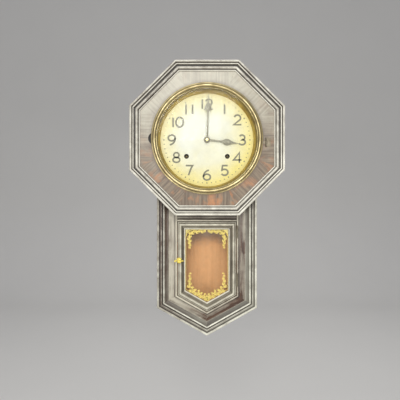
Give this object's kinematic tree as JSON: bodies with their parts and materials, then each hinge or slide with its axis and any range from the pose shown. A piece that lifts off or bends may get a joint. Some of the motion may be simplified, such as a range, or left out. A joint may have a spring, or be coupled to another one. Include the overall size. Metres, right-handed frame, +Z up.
{
  "type": "schoolhouse wall clock",
  "caption": "Octagonal wall clock with a hinged round glazed bezel and a pointed drop case with a glazed door, over a spring-driven striking movement with a pendulum.",
  "frame": {"origin": "centre of the hanger hole, on the wall plane", "axes": "+Z up, -Y out of the wall towards the viewer, +X to the viewer's right"},
  "size_m": [0.31, 0.116, 0.5585],
  "materials": {
    "dark_wood": "dark varnish, worn edges",
    "case_wood": "plain, unvarnished inside",
    "bezel_brass": "polished, aged",
    "movement_brass": "satin",
    "dial_paint": "matt cream",
    "blued_steel": "blued",
    "steel": "satin",
    "spring_steel": "blued grey",
    "glass": "clear",
    "hammer_iron": "painted black"
  },
  "bodies": {
    "case": {"back_board": "case_wood", "left_side_board": "dark_wood", "right_side_board": "dark_wood", "top_board": "dark_wood", "bottom_boards": "dark_wood", "front_stiles": "dark_wood", "front_rails": "dark_wood", "drop_mouldings": "dark_wood", "octagon_panel": "dark_wood", "octagon_mouldings": "dark_wood", "hanger_plate": "steel", "hanger_screws": "steel", "sight_ring": "bezel_brass", "dial_plate": "dial_paint", "bezel_hinge_leaf": "bezel_brass", "bezel_hinge_screws": "bezel_brass", "hinge_pins": "bezel_brass", "door_hinge_case_leaves": "bezel_brass", "door_hook_pin": "bezel_brass", "front_plate": "movement_brass", "back_plate": "movement_brass", "movement_pillars": "movement_brass", "movement_feet": "steel", "time_mainspring": "spring_steel", "strike_mainspring": "spring_steel", "suspension_cock": "movement_brass", "gong": "spring_steel"},
    "bezel": {"bezel_ring": "bezel_brass", "bezel_glass": "glass"},
    "door": {"door_frame": "dark_wood", "door_glass": "glass", "door_hinge_door_leaves": "bezel_brass", "door_hook_screw": "bezel_brass"},
    "hook": {"door_hook": "bezel_brass"},
    "minute_hand_set": {"minute_hand": "blued_steel", "cannon_pinion": "movement_brass", "hand_nut": "bezel_brass"},
    "minute_wheel": {"minute_wheel": "movement_brass"},
    "hour_hand_set": {"hour_hand": "blued_steel", "hour_wheel": "movement_brass"},
    "time_great_wheel": {"time_great_wheel": "movement_brass"},
    "time_click": {"time_click": "steel"},
    "time_winding_arbor": {"time_winding_arbor": "steel"},
    "time_second_wheel": {"time_second_wheel": "movement_brass"},
    "centre_wheel": {"centre_wheel": "movement_brass"},
    "time_third_wheel": {"time_third_wheel": "movement_brass"},
    "escape_wheel": {"escape_wheel": "movement_brass"},
    "pallets": {"pallet_anchor": "steel", "crutch": "steel"},
    "pendulum": {"suspension_spring": "spring_steel", "pendulum_rod": "movement_brass"},
    "bob": {"pendulum_bob": "bezel_brass", "rating_nut": "bezel_brass"},
    "strike_great_wheel": {"strike_great_wheel": "movement_brass"},
    "strike_click": {"strike_click": "steel"},
    "strike_winding_arbor": {"strike_winding_arbor": "steel"},
    "strike_second_wheel": {"strike_second_wheel": "movement_brass"},
    "strike_third_wheel": {"strike_third_wheel": "movement_brass"},
    "strike_fly": {"strike_fly": "movement_brass"},
    "hammer": {"strike_hammer": "hammer_iron"}
  },
  "joints": [
    {"name": "bezel_hinge", "type": "hinge", "parent": "case", "child": "bezel", "pos_m": [0.1186, -0.1062, -0.13], "axis": [0, 0, 1], "range_deg": [0, 110]},
    {"name": "door_hinge", "type": "hinge", "parent": "case", "child": "door", "pos_m": [0.0619, -0.0846, -0.37], "axis": [0, 0, 1], "range_deg": [0, 110]},
    {"name": "hook_pivot", "type": "hinge", "parent": "door", "child": "hook", "pos_m": [-0.0572, -0.085, -0.38], "axis": [0, 1, 0], "range_deg": [0, 80]},
    {"name": "minute_hand_turn", "type": "hinge", "parent": "case", "child": "minute_hand_set", "pos_m": [0, -0.089, -0.13], "axis": [0, 1, 0], "continuous": true},
    {"name": "minute_wheel_turn", "type": "hinge", "parent": "case", "child": "minute_wheel", "pos_m": [-0.01358, -0.071, -0.14358], "axis": [0, 1, 0], "continuous": true},
    {"name": "hour_hand_turn", "type": "hinge", "parent": "case", "child": "hour_hand_set", "pos_m": [0, -0.087, -0.13], "axis": [0, 1, 0], "continuous": true},
    {"name": "time_third_turn", "type": "hinge", "parent": "case", "child": "time_third_wheel", "pos_m": [0.022, -0.05, -0.10844], "axis": [0, 1, 0], "continuous": true},
    {"name": "escape_turn", "type": "hinge", "parent": "case", "child": "escape_wheel", "pos_m": [0, -0.05, -0.09497], "axis": [0, 1, 0], "continuous": true},
    {"name": "centre_turn", "type": "hinge", "parent": "case", "child": "centre_wheel", "pos_m": [0, -0.05, -0.13], "axis": [0, 1, 0], "continuous": true},
    {"name": "time_second_turn", "type": "hinge", "parent": "case", "child": "time_second_wheel", "pos_m": [0.0045, -0.06, -0.16118], "axis": [0, 1, 0], "continuous": true},
    {"name": "time_great_turn", "type": "hinge", "parent": "case", "child": "time_great_wheel", "pos_m": [0.0422, -0.059, -0.1639], "axis": [0, 1, 0], "continuous": true},
    {"name": "time_winding_turn", "type": "hinge", "parent": "case", "child": "time_winding_arbor", "pos_m": [0.0422, -0.06, -0.1639], "axis": [0, 1, 0], "continuous": true},
    {"name": "time_click_pivot", "type": "hinge", "parent": "time_great_wheel", "child": "time_click", "pos_m": [0.0422, -0.061, -0.1464], "axis": [0, 1, 0], "range_deg": [-12, 0], "stiffness_Nm_per_rad": 0.002, "springref_deg": 2.86},
    {"name": "strike_third_turn", "type": "hinge", "parent": "case", "child": "strike_third_wheel", "pos_m": [-0.0374, -0.05, -0.10609], "axis": [0, 1, 0], "continuous": true},
    {"name": "strike_fly_turn", "type": "hinge", "parent": "case", "child": "strike_fly", "pos_m": [-0.0234, -0.05, -0.0968], "axis": [0, 1, 0], "continuous": true},
    {"name": "strike_second_turn", "type": "hinge", "parent": "case", "child": "strike_second_wheel", "pos_m": [-0.03141, -0.06, -0.12767], "axis": [0, 1, 0], "continuous": true},
    {"name": "strike_great_turn", "type": "hinge", "parent": "case", "child": "strike_great_wheel", "pos_m": [-0.0422, -0.059, -0.1639], "axis": [0, 1, 0], "continuous": true},
    {"name": "strike_winding_turn", "type": "hinge", "parent": "case", "child": "strike_winding_arbor", "pos_m": [-0.0422, -0.06, -0.1639], "axis": [0, 1, 0], "continuous": true},
    {"name": "strike_click_pivot", "type": "hinge", "parent": "strike_great_wheel", "child": "strike_click", "pos_m": [-0.0422, -0.061, -0.1464], "axis": [0, 1, 0], "range_deg": [-12, 0], "stiffness_Nm_per_rad": 0.002, "springref_deg": 2.86},
    {"name": "hammer_pivot", "type": "hinge", "parent": "case", "child": "hammer", "pos_m": [-0.014, -0.04, -0.194], "axis": [0, 1, 0], "range_deg": [-2, 12], "stiffness_Nm_per_rad": 0.05},
    {"name": "pendulum_swing", "type": "hinge", "parent": "case", "child": "pendulum", "pos_m": [0, -0.027, -0.073], "axis": [0, 1, 0], "range_deg": [-4, 4]},
    {"name": "pallet_swing", "type": "hinge", "parent": "case", "child": "pallets", "pos_m": [0, -0.044, -0.073], "axis": [0, 1, 0], "range_deg": [-4, 4]},
    {"name": "bob_regulation", "type": "slide", "parent": "pendulum", "child": "bob", "axis": [0, 0, 1], "range_m": [-0.003, 0.004]}
  ],
  "couplings": [
    {"joint": "minute_wheel_turn", "follows": "minute_hand_turn", "ratio": -0.33333},
    {"joint": "hour_hand_turn", "follows": "minute_hand_turn", "ratio": 0.083333},
    {"joint": "escape_turn", "follows": "time_third_turn", "ratio": -9.75},
    {"joint": "centre_turn", "follows": "time_third_turn", "ratio": -0.1},
    {"joint": "time_second_turn", "follows": "time_third_turn", "ratio": 0.016667},
    {"joint": "time_great_turn", "follows": "time_third_turn", "ratio": -0.0027778},
    {"joint": "strike_fly_turn", "follows": "strike_third_turn", "ratio": -6},
    {"joint": "strike_second_turn", "follows": "strike_third_turn", "ratio": -0.16667},
    {"joint": "strike_great_turn", "follows": "strike_third_turn", "ratio": 0.027778},
    {"joint": "pallet_swing", "follows": "pendulum_swing", "ratio": 1}
  ]
}
